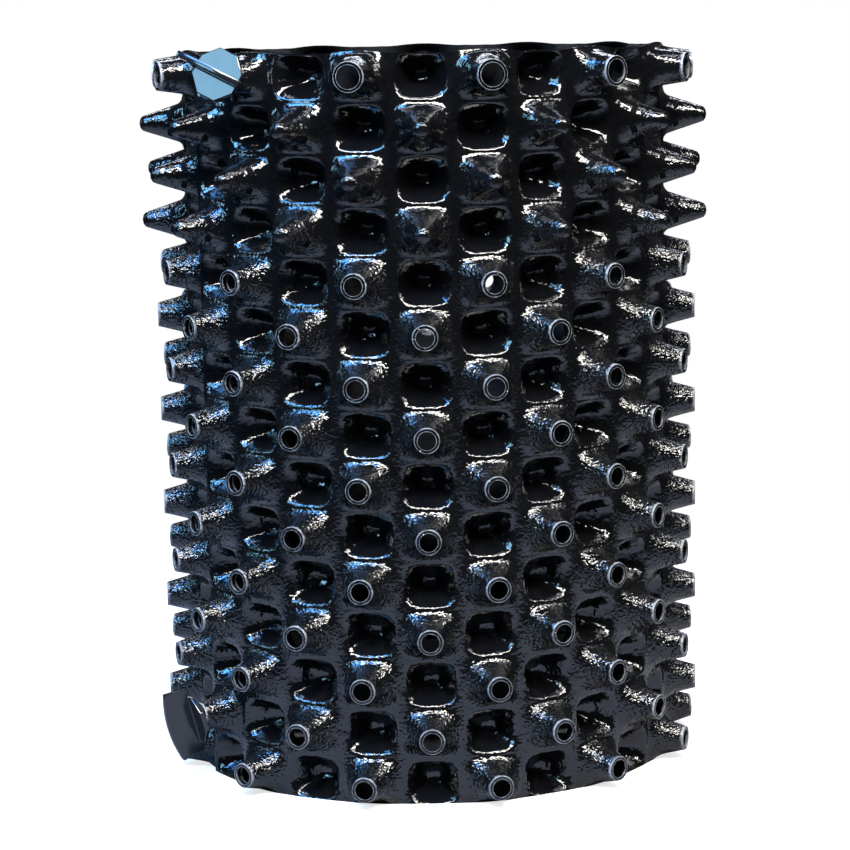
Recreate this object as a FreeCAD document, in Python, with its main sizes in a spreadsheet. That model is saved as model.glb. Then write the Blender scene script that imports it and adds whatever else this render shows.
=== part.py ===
import FreeCAD, Part
import math
import os
import Sketcher

# Air pruning pot: a thermoformed sheet of outward cones and inward dimples is rolled into a tube.
# Its ends overlap by whole columns, so that they nest, and two thumb screws hold them.
# A slotted disc caught between two rows of dimples is the bottom.
# Frame: origin at the centre of the lower edge, +Z up, -Y to the front.

Vec = FreeCAD.Vector
UP = Vec(0, 0, 1)

doc = FreeCAD.newDocument("air_pruning_pot")
sheet = doc.addObject("Spreadsheet::Sheet", "sizes")

DIMENSIONS = (
    # The tube, as a lattice of cells. One cell is one cone or one dimple.
    ("column_count", 26),
    ("overlap_columns", 2),
    ("seam_column", -4),
    ("row_count", 15),
    ("row_pitch", 25),
    ("edge_margin", 11),
    ("web_radius", 127),
    # Thickness of the sheet along the tube's radius, and at its flat tips and floors.
    ("sheet_depth", 2),
    ("tip_wall", 1),
    # The outer end of the sheet stands this far off the inner end that it nests over.
    ("seam_lift", 3),
    ("lift_columns", 2),
    # Cones. The first row is cut wide, the next rows are left closed, and the rest are cut small.
    ("tip_sides", 8),
    ("hole_sides", 6),
    ("rim_cone_length", 17.5),
    ("rim_tip_radius", 7.4),
    ("rim_hole_radius", 6),
    ("closed_first_row", 2),
    ("closed_last_row", 4),
    ("closed_cone_length", 22.4),
    ("closed_tip_radius", 4),
    ("cut_cone_length", 16),
    ("cut_tip_radius", 6.2),
    ("cut_hole_radius", 4.6),
    # Dimples.
    ("dimple_depth", 14),
    ("dimple_floor_width", 12),
    ("dimple_floor_height", 9),
    # The slotted disc.
    ("rows_below_base", 2),
    ("base_thickness", 3),
    ("base_clearance", 0.6),
    ("slot_rings", 3),
    ("slot_inner_count", 8),
    ("slot_width", 6.5),
    ("slot_length", 27),
    ("slot_first_radius", 19),
    ("slot_ring_pitch", 33),
    # The thumb screws.
    ("plate_sides", 8),
    ("plate_across_corners", 26.8),
    ("plate_thickness", 2.5),
    ("fin_thickness", 3),
    ("fin_base_length", 34),
    ("fin_outer_length", 37),
    ("fin_end_height", 14),
    ("fin_middle_height", 17),
    ("shank_radius", 3.2),
    ("shank_length", 17),
    ("shank_point_length", 9),
    ("shank_point_radius", 1.5),
    # Each screw stands askew: its axis swings round the pot and leans upward from its cone's axis.
    ("seat_gap", 0.05),
    ("top_screw_row", 1),
    ("top_screw_column", -3),
    ("top_screw_swing", 22),
    ("top_screw_lean", 16),
    ("top_fin_angle", -25),
    ("bottom_screw_row", 14),
    ("bottom_screw_column", -4),
    ("bottom_screw_swing", -4),
    ("bottom_screw_lean", -15),
    ("bottom_fin_angle", -88),
)

for line, (alias, value) in enumerate(DIMENSIONS, start=1):
    sheet.set("A%d" % line, alias)
    sheet.set("B%d" % line, str(value))
    sheet.setAlias("B%d" % line, alias)
doc.recompute()


def size(alias):
    return float(sheet.get(alias))


def whole(alias):
    return int(round(size(alias)))


COLUMN_STEP = 2 * math.pi / whole("column_count")
SHEET_COLUMNS = whole("column_count") + whole("overlap_columns")
WALL_HEIGHT = (whole("row_count") - 1) * size("row_pitch") + 2 * size("edge_margin")


def row_height(row):
    """Height of a row's centre line; row 1 is the top one."""
    return size("edge_margin") + (whole("row_count") - row) * size("row_pitch")


def row_edge(row):
    """Height of the line below a row; line 0 is the upper edge of the sheet."""
    if row == 0:
        return WALL_HEIGHT
    if row == whole("row_count"):
        return 0.0
    return row_height(row) - size("row_pitch") / 2


def column_angle(column):
    """Angle of a column about the axis; column 0 faces the front."""
    return column * COLUMN_STEP


def across(angle):
    return Vec(math.cos(angle), math.sin(angle), 0)


def outward(angle):
    return Vec(math.sin(angle), -math.cos(angle), 0)


def lift(edge):
    """How far an upright edge of the lattice stands off the tube, towards the sheet's outer end."""
    share = (whole("overlap_columns") + whole("lift_columns") - edge) / whole("lift_columns")
    return size("seam_lift") * min(max(share, 0.0), 1.0)


def lattice_point(edge, height, depth):
    angle = column_angle(whole("seam_column") - 0.5 + edge)
    return outward(angle) * (size("web_radius") + lift(edge) - depth) + UP * height


class Cell:
    """One cell of the lattice: its corners on both skins and its own flat axes."""

    def __init__(self, edge, row):
        self.row = row
        self.is_cone = (whole("seam_column") + edge - row) % 2 == 0
        self.outer = self.corners(edge, 0.0)
        self.inner = self.corners(edge, size("sheet_depth"))
        low_left, low_right = self.outer[0], self.outer[1]
        self.side = (low_right - low_left).normalize()
        self.normal = self.side.cross(UP)
        middle = (low_left + low_right) * 0.5
        self.centre = Vec(middle.x, middle.y, row_height(row))
        self.half_width = (low_right - low_left).Length / 2

    def corners(self, edge, depth):
        low, high = row_edge(self.row), row_edge(self.row - 1)
        return [
            lattice_point(edge, low, depth),
            lattice_point(edge + 1, low, depth),
            lattice_point(edge + 1, high, depth),
            lattice_point(edge, high, depth),
        ]

    def place(self, along, up, out):
        return self.centre + self.side * along + UP * up + self.normal * out

    def ring(self, radius, sides, out):
        """A regular polygon around the cell's centre, with a side level at its top and bottom."""
        shift = 0.5 if sides % 4 == 0 else 0.0
        angles = [2 * math.pi * (i + shift) / sides for i in range(sides)]
        return [self.place(radius * math.cos(a), radius * math.sin(a), out) for a in angles]

    def quadrants(self, sides):
        """For each corner of the cell, the indices of the ring's points that face it."""
        shift = 0.5 if sides % 4 == 0 else 0.0
        turns = [(i + shift) / sides for i in range(sides + 1)]
        tiny = 1e-9
        groups = []
        for start in (0.5, 0.75, 0.0, 0.25):
            inside = [i for i, turn in enumerate(turns) if start - tiny <= turn <= start + 0.25 + tiny]
            groups.append([i % sides for i in inside])
        return groups


def flat_face(points):
    return Part.Face(Part.makePolygon(points + points[:1]))


def panel(points):
    """One face, or two triangles where four corners don't lie in one plane."""
    if len(points) == 4:
        normal = (points[1] - points[0]).cross(points[2] - points[0]).normalize()
        if abs(normal.dot(points[3] - points[0])) > 1e-7:
            return [flat_face(points[:3]), flat_face([points[0], points[2], points[3]])]
    return [flat_face(points)]


def flank(cell, corners, ring):
    """The sloping faces between a cell's four corners and a ring of points."""
    groups = cell.quadrants(len(ring))
    faces = []
    for k, corner in enumerate(corners):
        group = groups[k]
        for first, second in zip(group, group[1:]):
            faces += panel([corner, ring[second], ring[first]])
        following = groups[(k + 1) % 4][0]
        side = [corner, corners[(k + 1) % 4], ring[following]]
        if following != group[-1]:
            side.append(ring[group[-1]])
        faces += panel(side)
    return faces


def annulus(outer_ring, inner_ring):
    wires = [Part.makePolygon(ring + ring[:1]) for ring in (outer_ring, inner_ring)]
    return Part.makeFace(wires, "Part::FaceMakerBullseye")


def cut_cone(cell, length, tip_radius, hole_radius):
    """A cone whose end is cut off, so that air reaches the roots through it."""
    tip = cell.ring(tip_radius, whole("tip_sides"), length)
    hole = cell.ring(hole_radius, whole("hole_sides"), length)
    return flank(cell, cell.outer, tip) + flank(cell, cell.inner, hole) + [annulus(tip, hole)]


def closed_cone(cell):
    length, wall = size("closed_cone_length"), size("tip_wall")
    tip = cell.ring(size("closed_tip_radius"), whole("tip_sides"), length)
    hollow = cell.ring(size("closed_tip_radius") - wall, whole("hole_sides"), length - wall)
    faces = flank(cell, cell.outer, tip) + flank(cell, cell.inner, hollow)
    return faces + [flat_face(tip), flat_face(hollow)]


def dimple(cell):
    """A pit towards the roots, with a flat floor and flanks of even thickness."""
    depth = size("dimple_depth")
    half_width, half_height = size("dimple_floor_width") / 2, size("dimple_floor_height") / 2
    run = (size("sheet_depth") - size("tip_wall")) / depth
    wider = half_width + run * (cell.half_width - half_width)
    taller = half_height + run * (size("row_pitch") / 2 - half_height)
    faces = []
    skins = (
        (cell.outer, half_width, half_height, depth),
        (cell.inner, wider, taller, depth + size("tip_wall")),
    )
    for corners, along, up, below in skins:
        signs = ((-1, -1), (1, -1), (1, 1), (-1, 1))
        floor = [cell.place(a * along, b * up, -below) for a, b in signs]
        for k in range(4):
            following = (k + 1) % 4
            faces += panel([corners[k], corners[following], floor[following], floor[k]])
        faces.append(flat_face(floor))
    return faces


def cone_end(row):
    """Length, tip radius and hole radius of the cut cones in a row."""
    kind = "rim" if row == 1 else "cut"
    return size(kind + "_cone_length"), size(kind + "_tip_radius"), size(kind + "_hole_radius")


def is_closed_row(row):
    return whole("closed_first_row") <= row <= whole("closed_last_row")


def sheet_edges():
    """The cut edges of the sheet: its upper and lower rims and its two upright ends."""
    depth = size("sheet_depth")
    faces = []
    for height in (0.0, WALL_HEIGHT):
        for edge in range(SHEET_COLUMNS):
            near = [lattice_point(e, height, 0.0) for e in (edge, edge + 1)]
            far = [lattice_point(e, height, depth) for e in (edge + 1, edge)]
            faces += panel(near + far)
    for edge in (0, SHEET_COLUMNS):
        for row in range(1, whole("row_count") + 1):
            low, high = row_edge(row), row_edge(row - 1)
            near = [lattice_point(edge, height, 0.0) for height in (low, high)]
            far = [lattice_point(edge, height, depth) for height in (high, low)]
            faces += panel(near + far)
    return faces


def make_wall_sheet():
    faces = sheet_edges()
    for row in range(1, whole("row_count") + 1):
        for edge in range(SHEET_COLUMNS):
            cell = Cell(edge, row)
            if not cell.is_cone:
                faces += dimple(cell)
            elif is_closed_row(row):
                faces += closed_cone(cell)
            else:
                faces += cut_cone(cell, *cone_end(row))
    solid = Part.Solid(Part.Shell(faces))
    if solid.Volume < 0:
        solid.reverse()
    wall = doc.addObject("Part::Feature", "wall_sheet")
    wall.Label = "wall_sheet"
    wall.Shape = solid
    wall.Placement = FreeCAD.Placement()
    return wall


def origin_plane(body, role):
    return next(item for item in body.Origin.OriginFeatures if item.Role == role)


def new_sketch(body, name, role):
    sketch = body.newObject("Sketcher::SketchObject", name)
    sketch.AttachmentSupport = [(origin_plane(body, role), "")]
    sketch.MapMode = "FlatFace"
    return sketch


def bind(sketch, constraint, name, expression):
    """Adds a sized constraint and ties it to the sheet."""
    index = sketch.addConstraint(constraint)
    sketch.renameConstraint(index, name)
    sketch.setExpression("Constraints." + name, expression)


def closed_lines(sketch, points):
    """A closed outline of straight lines; line i starts at point i."""
    following = points[1:] + points[:1]
    for a, b in zip(points, following):
        sketch.addGeometry(Part.LineSegment(Vec(*a, 0), Vec(*b, 0)), False)
    for i in range(len(points)):
        sketch.addConstraint(Sketcher.Constraint("Coincident", i, 2, (i + 1) % len(points), 1))


# The disc is caught between two rows: a dimple flank stands this far in from the web
# for each millimetre of height away from the line between the rows.
FLANK_SLOPE = "sizes.dimple_depth / (sizes.row_pitch / 2 - sizes.dimple_floor_height / 2)"
BASE_RADIUS = (
    "(sizes.web_radius - sizes.sheet_depth) * cos(180deg / sizes.column_count)"
    " - sizes.base_thickness / 2 * " + FLANK_SLOPE + " - sizes.base_clearance"
)


def cut_slot_ring(body, ring):
    """One ring of radial slots, each ring further out and with more slots."""
    start = "sizes.slot_first_radius + %d * sizes.slot_ring_pitch" % ring
    near = size("slot_first_radius") + ring * size("slot_ring_pitch")
    far = near + size("slot_length")
    half = size("slot_width") / 2
    sketch = new_sketch(body, "slot_outline_%d" % (ring + 1), "XY_Plane")
    closed_lines(sketch, [(near, -half), (far, -half), (far, half), (near, half)])
    for line in (0, 2):
        sketch.addConstraint(Sketcher.Constraint("Horizontal", line))
    sketch.addConstraint(Sketcher.Constraint("Vertical", 1))
    sketch.addConstraint(Sketcher.Constraint("Symmetric", 3, 1, 3, 2, -1))
    bind(sketch, Sketcher.Constraint("DistanceX", -1, 1, 0, 1, near), "start", start)
    bind(sketch, Sketcher.Constraint("DistanceX", 0, 1, 0, 2, far - near), "length", "sizes.slot_length")
    bind(sketch, Sketcher.Constraint("DistanceY", 1, 1, 1, 2, 2 * half), "width", "sizes.slot_width")
    slot = body.newObject("PartDesign::Pocket", "slot_%d" % (ring + 1))
    slot.Profile = sketch
    slot.Type = "ThroughAll"
    slot.Reversed = True
    pattern = body.newObject("PartDesign::PolarPattern", "slot_ring_%d" % (ring + 1))
    pattern.Originals = [slot]
    pattern.Axis = (sketch, ["N_Axis"])
    pattern.Angle = 360
    pattern.setExpression("Occurrences", "sizes.slot_inner_count * %d" % (ring + 1))
    body.Tip = pattern
    return pattern


def make_base_disc():
    body = doc.addObject("PartDesign::Body", "base_disc")
    body.Label = "base_disc"
    outline = new_sketch(body, "disc_outline", "XY_Plane")
    outline.addGeometry(Part.Circle(Vec(0, 0, 0), UP, size("web_radius")), False)
    outline.addConstraint(Sketcher.Constraint("Coincident", 0, 3, -1, 1))
    bind(outline, Sketcher.Constraint("Radius", 0, size("web_radius")), "radius", BASE_RADIUS)
    disc = body.newObject("PartDesign::Pad", "disc")
    disc.Profile = outline
    disc.setExpression("Length", "sizes.base_thickness")
    doc.recompute()
    for ring in range(whole("slot_rings")):
        before = body.Shape.Volume
        cut_slot_ring(body, ring)
        doc.recompute()
        if body.Shape.Volume >= before:
            raise RuntimeError("slot ring %d cut nothing" % (ring + 1))
    level = row_edge(whole("row_count") - whole("rows_below_base")) - size("base_thickness") / 2
    body.Placement = FreeCAD.Placement(UP * level, FreeCAD.Rotation())
    return body


def add_shank(body):
    """A round shank that narrows to its point."""
    radius = size("shank_radius")
    length, point = size("shank_length"), size("shank_point_length")
    tip = size("shank_point_radius")
    sketch = new_sketch(body, "shank_outline", "XZ_Plane")
    closed_lines(sketch, [(0, 0), (radius, 0), (radius, point - length), (tip, -length), (0, -length)])
    sketch.addConstraint(Sketcher.Constraint("Coincident", 0, 1, -1, 1))
    sketch.addConstraint(Sketcher.Constraint("Horizontal", 0))
    sketch.addConstraint(Sketcher.Constraint("Vertical", 1))
    sketch.addConstraint(Sketcher.Constraint("Horizontal", 3))
    sketch.addConstraint(Sketcher.Constraint("Vertical", 4))
    bind(sketch, Sketcher.Constraint("DistanceX", 0, 1, 0, 2, radius), "radius", "sizes.shank_radius")
    bind(sketch, Sketcher.Constraint("DistanceY", 1, 2, 1, 1, length - point), "straight",
         "sizes.shank_length - sizes.shank_point_length")
    bind(sketch, Sketcher.Constraint("DistanceY", 4, 1, 4, 2, length), "length", "sizes.shank_length")
    bind(sketch, Sketcher.Constraint("DistanceX", 3, 2, 3, 1, tip), "tip", "sizes.shank_point_radius")
    shank = body.newObject("PartDesign::Revolution", "shank")
    shank.Profile = sketch
    shank.ReferenceAxis = (sketch, ["V_Axis"])
    shank.Angle = 360
    doc.recompute()


def add_fin(body):
    """The finger grip: an upright blade across the plate, flared and bowed outward."""
    base, outer = size("fin_base_length") / 2, size("fin_outer_length") / 2
    low, end = size("plate_thickness"), size("fin_end_height")
    bow = size("fin_middle_height") - end
    bend = (outer ** 2 + bow ** 2) / (2 * bow)
    centre = end + bow - bend
    open_angle = math.atan2(end - centre, outer)
    sketch = new_sketch(body, "fin_outline", "XZ_Plane")
    for a, b in (((-base, low), (base, low)), ((base, low), (outer, end)), ((-outer, end), (-base, low))):
        sketch.addGeometry(Part.LineSegment(Vec(*a, 0), Vec(*b, 0)), False)
    circle = Part.Circle(Vec(0, centre, 0), UP, bend)
    sketch.addGeometry(Part.ArcOfCircle(circle, open_angle, math.pi - open_angle), False)
    for first, second in (((0, 2), (1, 1)), ((1, 2), (3, 1)), ((3, 2), (2, 1)), ((2, 2), (0, 1))):
        sketch.addConstraint(Sketcher.Constraint("Coincident", *first, *second))
    sketch.addConstraint(Sketcher.Constraint("Symmetric", 0, 1, 0, 2, -2))
    sketch.addConstraint(Sketcher.Constraint("Symmetric", 3, 1, 3, 2, -2))
    bind(sketch, Sketcher.Constraint("DistanceX", 0, 1, 0, 2, 2 * base), "base", "sizes.fin_base_length")
    bind(sketch, Sketcher.Constraint("DistanceX", 3, 2, 3, 1, 2 * outer), "outer", "sizes.fin_outer_length")
    bind(sketch, Sketcher.Constraint("DistanceY", -1, 1, 0, 1, low), "foot", "sizes.plate_thickness")
    bind(sketch, Sketcher.Constraint("DistanceY", -1, 1, 3, 1, end), "end", "sizes.fin_end_height")
    rise = "(sizes.fin_middle_height - sizes.fin_end_height)"
    bind(sketch, Sketcher.Constraint("Radius", 3, bend), "bend",
         "((sizes.fin_outer_length / 2) ^ 2 + %s ^ 2) / (2 * %s)" % (rise, rise))
    fin = body.newObject("PartDesign::Pad", "fin")
    fin.Profile = sketch
    fin.setExpression("Length", "sizes.fin_thickness")
    fin.Midplane = True
    doc.recompute()


def make_screw(name):
    """A moulded thumb screw: eight-sided plate, finger grip and shank, through two nested cones."""
    row, column = whole(name + "_row"), whole(name + "_column")
    body = doc.addObject("PartDesign::Body", name)
    body.Label = name
    plate = body.newObject("PartDesign::AdditivePrism", "plate")
    plate.setExpression("Polygon", "sizes.plate_sides")
    plate.setExpression("Circumradius", "sizes.plate_across_corners / 2")
    plate.setExpression("Height", "sizes.plate_thickness")
    plate.Placement = FreeCAD.Placement(Vec(0, 0, 0), FreeCAD.Rotation(UP, 180 / whole("plate_sides")))
    doc.recompute()
    add_shank(body)
    add_fin(body)
    cell = Cell(column - whole("seam_column"), row)
    angle = column_angle(column) + math.radians(size(name + "_swing"))
    lean = math.radians(size(name + "_lean"))
    turn = math.radians(size(name.replace("screw", "fin_angle")))
    axis = outward(angle) * math.cos(lean) + UP * math.sin(lean)
    level = across(angle)
    along = level * math.cos(turn) + axis.cross(level) * math.sin(turn)
    # The axis passes midway between the two nested holes, and the plate touches the outer tip.
    length, tip_radius, _ = cone_end(row)
    middle = cell.place(0, 0, length - size("seam_lift") / 2)
    tip = cell.ring(tip_radius, whole("tip_sides"), length)
    standoff = max((point - middle).dot(axis) for point in tip) + size("seat_gap")
    rotation = FreeCAD.Rotation(along, axis.cross(along), axis, "ZXY")
    body.Placement = FreeCAD.Placement(middle + axis * standoff, rotation)
    return body


pieces = [make_wall_sheet(), make_base_disc(), make_screw("top_screw"), make_screw("bottom_screw")]
doc.recompute()

for item in doc.Objects:
    if "Invalid" in item.State or "Error" in item.State:
        raise RuntimeError("%s failed: %s" % (item.Name, item.State))
for piece in pieces:
    if piece.Shape.isNull() or not piece.Shape.isValid():
        raise RuntimeError("%s has no valid shape" % piece.Label)

os.makedirs("parts", exist_ok=True)
for piece in pieces:
    piece.Shape.exportStep("parts/%s.step" % piece.Label)
    box = piece.Shape.BoundBox
    print(piece.Label, len(piece.Shape.Solids), "solid,", len(piece.Shape.Faces), "faces,",
          "%.1f cm3," % (piece.Shape.Volume / 1000), "x %.1f to %.1f," % (box.XMin, box.XMax),
          "y %.1f to %.1f," % (box.YMin, box.YMax), "z %.1f to %.1f" % (box.ZMin, box.ZMax))
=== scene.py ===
import math

import bmesh
import bpy
from mathutils import Matrix, Vector


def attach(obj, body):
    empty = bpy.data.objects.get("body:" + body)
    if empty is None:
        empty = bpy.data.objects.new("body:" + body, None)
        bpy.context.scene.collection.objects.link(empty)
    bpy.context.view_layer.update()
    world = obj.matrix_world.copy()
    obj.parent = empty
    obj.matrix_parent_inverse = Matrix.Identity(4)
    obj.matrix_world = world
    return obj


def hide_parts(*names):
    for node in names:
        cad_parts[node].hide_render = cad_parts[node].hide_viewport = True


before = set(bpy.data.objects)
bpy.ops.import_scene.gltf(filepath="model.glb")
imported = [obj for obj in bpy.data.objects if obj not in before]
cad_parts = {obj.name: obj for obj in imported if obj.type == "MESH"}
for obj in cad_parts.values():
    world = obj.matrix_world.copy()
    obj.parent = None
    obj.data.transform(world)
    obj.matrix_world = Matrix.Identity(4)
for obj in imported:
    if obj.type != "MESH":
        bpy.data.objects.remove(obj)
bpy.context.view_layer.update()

# Air pruning pot: a rolled sheet of black thermoformed polyethylene with cones and dimples,
# closed by two thumb screws, with a slotted disc inside. Every length is in metres.

MM = 0.001
UP = Vector((0, 0, 1))

# The lattice of the sheet. One cell holds one cone or one dimple. Rows count from the top, and
# columns from the front towards the right. The outer end of the sheet starts at the seam column.
TURN_COLUMNS = 26
OVERLAP_COLUMNS = 2
SHEET_COLUMNS = TURN_COLUMNS + OVERLAP_COLUMNS
SEAM_COLUMN = -4
ROWS = 15
COLUMN_STEP = 2 * math.pi / TURN_COLUMNS
ROW_PITCH = 25 * MM
EDGE_MARGIN = 11 * MM
FACE_RADIUS = 126.07 * MM
COLUMN_PITCH = FACE_RADIUS * COLUMN_STEP
SHEET_THICKNESS = 1.1 * MM

# The outer end of the sheet stands off by the lift where it overlaps the inner end, and comes
# back to the common radius over the lift columns.
SEAM_LIFT = 3 * MM
LIFT_COLUMNS = 2

# Cones: a straight flank that runs out into the web through a fillet, round at the tip
# and squarer towards the edges of its cell.
FILLET_RADIUS, FILLET_END = 4 * MM, 13.5 * MM
ROUND_UP_TO, SQUARE_FROM = 8.5 * MM, 13 * MM
FOOT_SQUARENESS = 5.0
CUT_RADIUS, CUT_LENGTH = 6.2 * MM, 16 * MM
RIM_RADIUS, RIM_LENGTH = 7.4 * MM, 17.5 * MM
DOME_RADIUS, DOME_START, CLOSED_LENGTH = 4.4 * MM, 19 * MM, 22.4 * MM
FLANK_TOPS = {"cut": (CUT_RADIUS, CUT_LENGTH), "rim": (RIM_RADIUS, RIM_LENGTH),
              "closed": (DOME_RADIUS, DOME_START)}
CUT_WALL = 1.6 * MM
FIRST_CLOSED_ROW, LAST_CLOSED_ROW = 2, 4

# Dimples: a bowl with a rounded-square mouth and a small blunt floor. The bowl starts and ends
# at these shares of the mouth's size.
DIMPLE_DEPTH = 15 * MM
MOUTH_HALF_WIDTH, MOUTH_HALF_HEIGHT = 12.6 * MM, 10.2 * MM
MOUTH_SQUARENESS = 4.2
LIP_START, FLOOR_START = 1.16, 0.24

# The upper edge of the sheet rises over each cone of row 1 and falls over each dimple.
RIM_WAVE = 1.0 * MM

# Rings of points of each form, from the foot inwards: sizes for the cones, shares of the mouth
# for the dimple.
RINGS = {
    "cut": [r * MM for r in (11.9, 11.1, 10.2, 8.8, 7.4, 6.2)],
    "rim": [r * MM for r in (11.9, 11.1, 10.3, 9.3, 8.3, 7.4)],
    "closed": [r * MM for r in (11.9, 11.1, 10.0, 8.3, 6.7, 5.3, 4.4, 3.6, 2.2)],
    "dimple": [1.10, 1.02, 0.90, 0.66, 0.34],
}
LOOP_POINTS = 20
FIRST_DIRECTION = math.radians(225)
RING_INSET = 0.25 * MM
SLOPE_STEP = 0.05 * MM
CORNER_STRETCH = 1.5  # more than the square root of 2, by which a square's corner lies further out
HALVINGS = 30

# Values of the attribute "side", by which the material tells the parts of the sheet apart. The
# cut edge value marks both edges of each cut tip, which the material paints as pale lines: partly
# burrs, partly painted highlights of the rounded edges.
OUTER_SKIN, CUT_EDGE, INNER_SKIN = 0.0, 1.0, -1.0


def linear(code):
    """A linear colour with alpha from an sRGB hex code."""
    shares = [int(code[i:i + 2], 16) / 255 for i in (0, 2, 4)]
    return [c / 12.92 if c <= 0.04045 else ((c + 0.055) / 1.055) ** 2.4 for c in shares] + [1.0]


def add_node(tree, kind, settings=None, links=None):
    """Adds a node; settings are properties or input values, links go from sockets to its inputs.

    Inputs that share a name with others, as those of math nodes do, go by their number."""
    node = tree.nodes.new(kind)
    for key, value in (settings or {}).items():
        if isinstance(key, str) and hasattr(node, key):
            setattr(node, key, value)
        else:
            node.inputs[key].default_value = value
    for key, socket in (links or {}).items():
        tree.links.new(socket, node.inputs[key])
    return node


# The form of one cell, in flat coordinates: u across, v up, w outward.

def smooth(share):
    """An even step from 0 to 1."""
    share = min(max(share, 0.0), 1.0)
    return share * share * (3 - 2 * share)


def superellipse(u, v, power):
    """A radius whose rings are circles for power 2 and nearer to squares for higher ones."""
    return (abs(u) ** power + abs(v) ** power) ** (1 / power)


def spread(u, v):
    """How far out a point lies on its cone: round near the axis, a rounded square at the foot."""
    around = math.hypot(u, v)
    square = superellipse(u * ROW_PITCH / COLUMN_PITCH, v, FOOT_SQUARENESS)
    squared = smooth((around - ROUND_UP_TO) / (SQUARE_FROM - ROUND_UP_TO))
    return around + (square - around) * squared


def fillet_height(distance):
    """Height of the web where it curves up into a cone."""
    rest = max(FILLET_END - distance, 0.0)
    return FILLET_RADIUS - math.sqrt(FILLET_RADIUS ** 2 - rest ** 2)


def cone_height(kind, distance):
    """Height of a cone at this distance from its axis: dome, flank or fillet."""
    top_radius, top = FLANK_TOPS[kind]
    if distance < top_radius:
        return top + (CLOSED_LENGTH - top) * math.sqrt(1 - (distance / top_radius) ** 2)
    run, fall = FILLET_END - top_radius, top - FILLET_RADIUS
    slant = math.atan2(run, fall) - math.asin(FILLET_RADIUS / math.hypot(run, fall))
    if distance < FILLET_END - FILLET_RADIUS * math.cos(slant):
        return top - (distance - top_radius) / math.tan(slant)
    return fillet_height(distance)


def dimple_height(u, v):
    """Height in a dimple's cell: the bowl, and the fillets of the four cones next to it."""
    level = superellipse(u / MOUTH_HALF_WIDTH, v / MOUTH_HALF_HEIGHT, MOUTH_SQUARENESS)
    around = [spread(u - side * COLUMN_PITCH, v - rise * ROW_PITCH)
              for side, rise in ((-1, 0), (1, 0), (0, -1), (0, 1))]
    sunk = smooth((LIP_START - level) / (LIP_START - FLOOR_START))
    return fillet_height(min(around)) - DIMPLE_DEPTH * sunk


def cell_height(kind, u, v):
    return dimple_height(u, v) if kind == "dimple" else cone_height(kind, spread(u, v))


def below(kind, point, low, high):
    """The point on the inner skin straight through the sheet from a point of the outer skin."""
    u, v, w = point
    step = SLOPE_STEP
    du = (cell_height(kind, u + step, v) - cell_height(kind, u - step, v)) / (2 * step)
    dv = (cell_height(kind, u, v + step) - cell_height(kind, u, v - step)) / (2 * step)
    inner = Vector(point) - Vector((-du, -dv, 1)).normalized() * SHEET_THICKNESS
    inner.y = min(max(inner.y, -low), high)
    return inner


def upper_edge(u, high, wave):
    """Height of a cell's upper edge, which may rise or fall in a wave."""
    return high + wave * math.cos(math.pi * u / COLUMN_PITCH)


def boundary(low, high, wave):
    """Points round the edge of a cell, from its lower left corner, anticlockwise."""
    count = LOOP_POINTS // 4
    half = COLUMN_PITCH / 2
    shares = [i / count for i in range(count)]
    bottom = [(-half + COLUMN_PITCH * share, -low) for share in shares]
    right = [(half, -low + (low + high) * share) for share in shares]
    top = [(half - COLUMN_PITCH * share, upper_edge(half - COLUMN_PITCH * share, high, wave))
           for share in shares]
    left = [(-half, high - (low + high) * share) for share in shares]
    return bottom + right + top + left


def reach(kind, c, s, share):
    """How far along a direction the ring of this size or share lies."""
    if kind == "dimple":
        return share / superellipse(c / MOUTH_HALF_WIDTH, s / MOUTH_HALF_HEIGHT, MOUTH_SQUARENESS)
    near, far = 0.0, CORNER_STRETCH * share
    for _ in range(HALVINGS):
        middle = (near + far) / 2
        if spread(c * middle, s * middle) < share:
            near = middle
        else:
            far = middle
    return near


def ring(kind, share):
    """Points of one ring of a cone or dimple, in step with the boundary's points."""
    points = []
    for i in range(LOOP_POINTS):
        angle = FIRST_DIRECTION + 2 * math.pi * i / LOOP_POINTS
        c, s = math.cos(angle), math.sin(angle)
        length = reach(kind, c, s, share)
        points.append((c * length, s * length))
    return points


def kept_inside(points, low, high, wave, inset):
    """Points moved in from the lower and upper edge of their cell where they come too near."""
    return [(u, min(max(v, inset - low), upper_edge(u, high, wave) - inset)) for u, v in points]


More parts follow.
